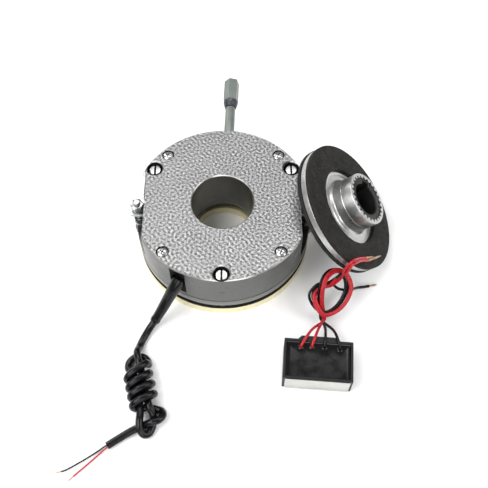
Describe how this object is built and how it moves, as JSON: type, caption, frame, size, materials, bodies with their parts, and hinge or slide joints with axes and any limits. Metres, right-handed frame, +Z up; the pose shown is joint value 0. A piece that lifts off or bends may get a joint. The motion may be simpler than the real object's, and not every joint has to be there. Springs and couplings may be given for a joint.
{
  "type": "electromagnetic disc clutch kit",
  "caption": "Spring-applied electromagnetic disc clutch: magnet unit with hand release and cable, friction rotor with splined hub leaning on it, and potted rectifier with knotted leads.",
  "frame": {"origin": "centre of the whole kit's footprint, on the surface it stands on; free cords are left out of that footprint", "axes": "+Z up along the magnet unit's axis; +Y towards the release lever's grip; +X towards the rotor"},
  "size_m": [0.2762, 0.3637, 0.0898],
  "materials": {
    "housing_metal": "fine hammertone grey on the top face, smooth satin grey round the side",
    "plate_steel": "machined, satin",
    "zinc_yellow": "pale yellow passivated zinc, satin",
    "zinc_bright": "bright zinc plate",
    "brass": "machined",
    "spring_steel": "bright drawn wire",
    "spring_black": "black phosphated wire",
    "lever_paint": "grey-green paint, satin",
    "lever_collar": "dark heat-blued steel",
    "bobbin_plastic": "moulded",
    "copper_wire": "enamelled copper wire",
    "resin": "cast resin",
    "black_rubber": "moulded, slight sheen",
    "cable_sheath": "black sheath with a soft shine",
    "black_wire": "black insulation",
    "red_wire": "red insulation",
    "rotor_aluminium": "turned, bright",
    "friction_lining": "moulded friction material, matt with light specks",
    "black_oxide": "black oxide, oiled",
    "case_plastic": "moulded black case",
    "potting_gloss": "poured, mirror gloss",
    "label_foil": "blank silver-white foil label"
  },
  "bodies": {
    "magnet_unit": {"cable_core_black": "black_wire", "cable_core_red": "red_wire", "cable_hank": "cable_sheath", "cable_run": "cable_sheath", "cable_tail": "cable_sheath", "coil_bobbin": "bobbin_plastic", "coil_potting": "resin", "coil_winding": "copper_wire", "cross_screw_1": "zinc_bright", "cross_screw_2": "zinc_bright", "cross_screw_3": "zinc_bright", "cross_screw_4": "zinc_bright", "flange_plate": "zinc_yellow", "lead_knot": "red_wire", "lead_tail_1": "red_wire", "lead_tail_2": "red_wire", "lead_tail_3": "black_wire", "lead_tail_4": "black_wire", "magnet_housing": "housing_metal", "mounting_screw_1": "zinc_bright", "mounting_screw_2": "zinc_bright", "mounting_screw_3": "zinc_bright", "pressure_spring_1": "spring_steel", "pressure_spring_2": "spring_steel", "pressure_spring_3": "spring_steel", "pressure_spring_4": "spring_steel", "pressure_spring_5": "spring_steel", "pressure_spring_6": "spring_steel", "rectifier_case": "case_plastic", "rectifier_label": "label_foil", "rectifier_lead_1": "red_wire", "rectifier_lead_2": "red_wire", "rectifier_lead_3": "black_wire", "rectifier_lead_4": "black_wire", "rectifier_potting": "potting_gloss", "release_spring_left": "spring_black", "release_spring_right": "spring_black", "sleeve_bolt_1": "brass", "sleeve_bolt_2": "brass", "sleeve_bolt_3": "brass", "spring_seat_left": "zinc_bright", "spring_seat_right": "zinc_bright", "strain_relief": "black_rubber"},
    "armature": {"armature_plate": "plate_steel", "release_nut_left": "zinc_bright", "release_nut_right": "zinc_bright", "release_stud_left": "zinc_bright", "release_stud_right": "zinc_bright", "release_washer_left": "zinc_bright", "release_washer_right": "zinc_bright"},
    "release_lever": {"release_yoke": "zinc_bright", "lever_rod": "lever_paint", "lever_collar": "lever_collar", "lever_grip": "lever_paint"},
    "rotor": {"rotor_carrier": "rotor_aluminium", "front_lining": "friction_lining", "back_lining": "friction_lining"},
    "hub": {"splined_hub": "black_oxide"}
  },
  "joints": [
    {"name": "lever_pull", "type": "hinge", "parent": "magnet_unit", "child": "release_lever", "pos_m": [-0.0352, -0.0048, 0.0472], "axis": [1, 0, 0], "range_deg": [0, 7]},
    {"name": "armature_travel", "type": "slide", "parent": "magnet_unit", "child": "armature", "axis": [0, 0, 1], "range_m": [0, 0.0005], "deforming": ["pressure_spring_1", "pressure_spring_2", "pressure_spring_3", "pressure_spring_4", "pressure_spring_5", "pressure_spring_6"]},
    {"name": "rotor_spin", "type": "hinge", "parent": "magnet_unit", "child": "rotor", "pos_m": [0.0743, 0.0018, 0.04924], "axis": [0.7169, 0, 0.6972], "continuous": true},
    {"name": "hub_slide", "type": "slide", "parent": "rotor", "child": "hub", "axis": [0.7169, 0, 0.6972], "range_m": [0, 0.004]}
  ],
  "couplings": [
    {"joint": "armature_travel", "follows": "lever_pull", "m_per_rad": 0.004}
  ]
}
